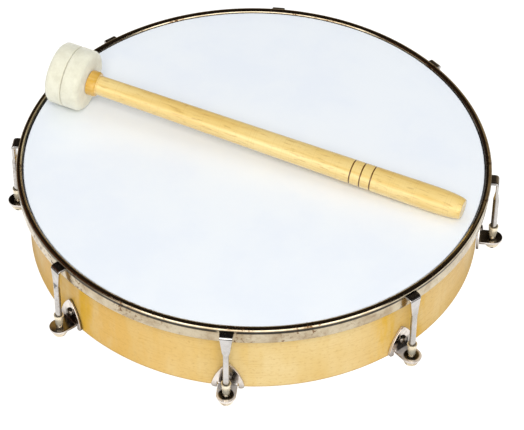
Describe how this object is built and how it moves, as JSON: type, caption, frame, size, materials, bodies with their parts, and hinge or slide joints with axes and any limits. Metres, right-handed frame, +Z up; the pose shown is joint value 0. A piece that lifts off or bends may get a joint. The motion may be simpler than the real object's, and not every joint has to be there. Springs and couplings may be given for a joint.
{
  "type": "hand drum",
  "caption": "Round tunable hand drum with a wooden shell, white film head, nickel hoop on claw hooks and slotted screws, and a felt-headed wooden beater lying on the head.",
  "frame": {"origin": "on the table under the drum's axis, at the bottom of the tension screws' heads", "axes": "+Z up, out through the head; -Y towards the front hook; the beater's grip lies towards +X"},
  "size_m": [0.2816, 0.2816, 0.0872],
  "materials": {
    "maple": "clear satin lacquer",
    "film": "smooth white film",
    "nickel": "bright nickel plate",
    "aluminium": "mill finish",
    "beech": "clear gloss lacquer",
    "felt": "pressed wool felt"
  },
  "bodies": {
    "shell": {"shell": "maple", "drum_head": "film", "lug_1": "nickel", "lug_2": "nickel", "lug_3": "nickel", "lug_4": "nickel", "lug_5": "nickel", "lug_6": "nickel", "lug_7": "nickel", "lug_8": "nickel", "lug_rivet_1": "nickel", "lug_rivet_2": "nickel", "lug_rivet_3": "nickel", "lug_rivet_4": "nickel", "lug_rivet_5": "nickel", "lug_rivet_6": "nickel", "lug_rivet_7": "nickel", "lug_rivet_8": "nickel"},
    "hoop": {"tension_hoop": "nickel", "flesh_hoop": "aluminium", "hook_1": "nickel", "hook_2": "nickel", "hook_3": "nickel", "hook_4": "nickel", "hook_5": "nickel", "hook_6": "nickel", "hook_7": "nickel", "hook_8": "nickel", "ferrule_1": "nickel", "ferrule_2": "nickel", "ferrule_3": "nickel", "ferrule_4": "nickel", "ferrule_5": "nickel", "ferrule_6": "nickel", "ferrule_7": "nickel", "ferrule_8": "nickel"},
    "screw_1": {"tension_screw_1": "nickel"},
    "screw_2": {"tension_screw_2": "nickel"},
    "screw_3": {"tension_screw_3": "nickel"},
    "screw_4": {"tension_screw_4": "nickel"},
    "screw_5": {"tension_screw_5": "nickel"},
    "screw_6": {"tension_screw_6": "nickel"},
    "screw_7": {"tension_screw_7": "nickel"},
    "screw_8": {"tension_screw_8": "nickel"},
    "beater": {"beater_handle": "beech", "beater_felt_front": "felt", "beater_felt_back": "felt"}
  },
  "joints": [
    {"name": "hoop_tension", "type": "slide", "parent": "shell", "child": "hoop", "axis": [0, 0, 1], "range_m": [-0.0015, 0.0015]},
    {"name": "screw_1_turn", "type": "hinge", "parent": "shell", "child": "screw_1", "pos_m": [0, -0.1352, 0.0028], "axis": [0, 0, 1], "range_deg": [-772, 772]},
    {"name": "screw_2_turn", "type": "hinge", "parent": "shell", "child": "screw_2", "pos_m": [0.0956, -0.0956, 0.0028], "axis": [0, 0, 1], "range_deg": [-772, 772]},
    {"name": "screw_3_turn", "type": "hinge", "parent": "shell", "child": "screw_3", "pos_m": [0.1352, 0, 0.0028], "axis": [0, 0, 1], "range_deg": [-772, 772]},
    {"name": "screw_4_turn", "type": "hinge", "parent": "shell", "child": "screw_4", "pos_m": [0.0956, 0.0956, 0.0028], "axis": [0, 0, 1], "range_deg": [-772, 772]},
    {"name": "screw_5_turn", "type": "hinge", "parent": "shell", "child": "screw_5", "pos_m": [0, 0.1352, 0.0028], "axis": [0, 0, 1], "range_deg": [-772, 772]},
    {"name": "screw_6_turn", "type": "hinge", "parent": "shell", "child": "screw_6", "pos_m": [-0.0956, 0.0956, 0.0028], "axis": [0, 0, 1], "range_deg": [-772, 772]},
    {"name": "screw_7_turn", "type": "hinge", "parent": "shell", "child": "screw_7", "pos_m": [-0.1352, 0, 0.0028], "axis": [0, 0, 1], "range_deg": [-772, 772]},
    {"name": "screw_8_turn", "type": "hinge", "parent": "shell", "child": "screw_8", "pos_m": [-0.0956, -0.0956, 0.0028], "axis": [0, 0, 1], "range_deg": [-772, 772]},
    {"name": "beater_lift", "type": "slide", "parent": "shell", "child": "beater", "axis": [0, 0, 1], "range_m": [0, 0.12]}
  ],
  "couplings": [
    {"joint": "screw_1_turn", "follows": "hoop_tension", "rad_per_m": -8976},
    {"joint": "screw_2_turn", "follows": "hoop_tension", "rad_per_m": -8976},
    {"joint": "screw_3_turn", "follows": "hoop_tension", "rad_per_m": -8976},
    {"joint": "screw_4_turn", "follows": "hoop_tension", "rad_per_m": -8976},
    {"joint": "screw_5_turn", "follows": "hoop_tension", "rad_per_m": -8976},
    {"joint": "screw_6_turn", "follows": "hoop_tension", "rad_per_m": -8976},
    {"joint": "screw_7_turn", "follows": "hoop_tension", "rad_per_m": -8976},
    {"joint": "screw_8_turn", "follows": "hoop_tension", "rad_per_m": -8976}
  ]
}
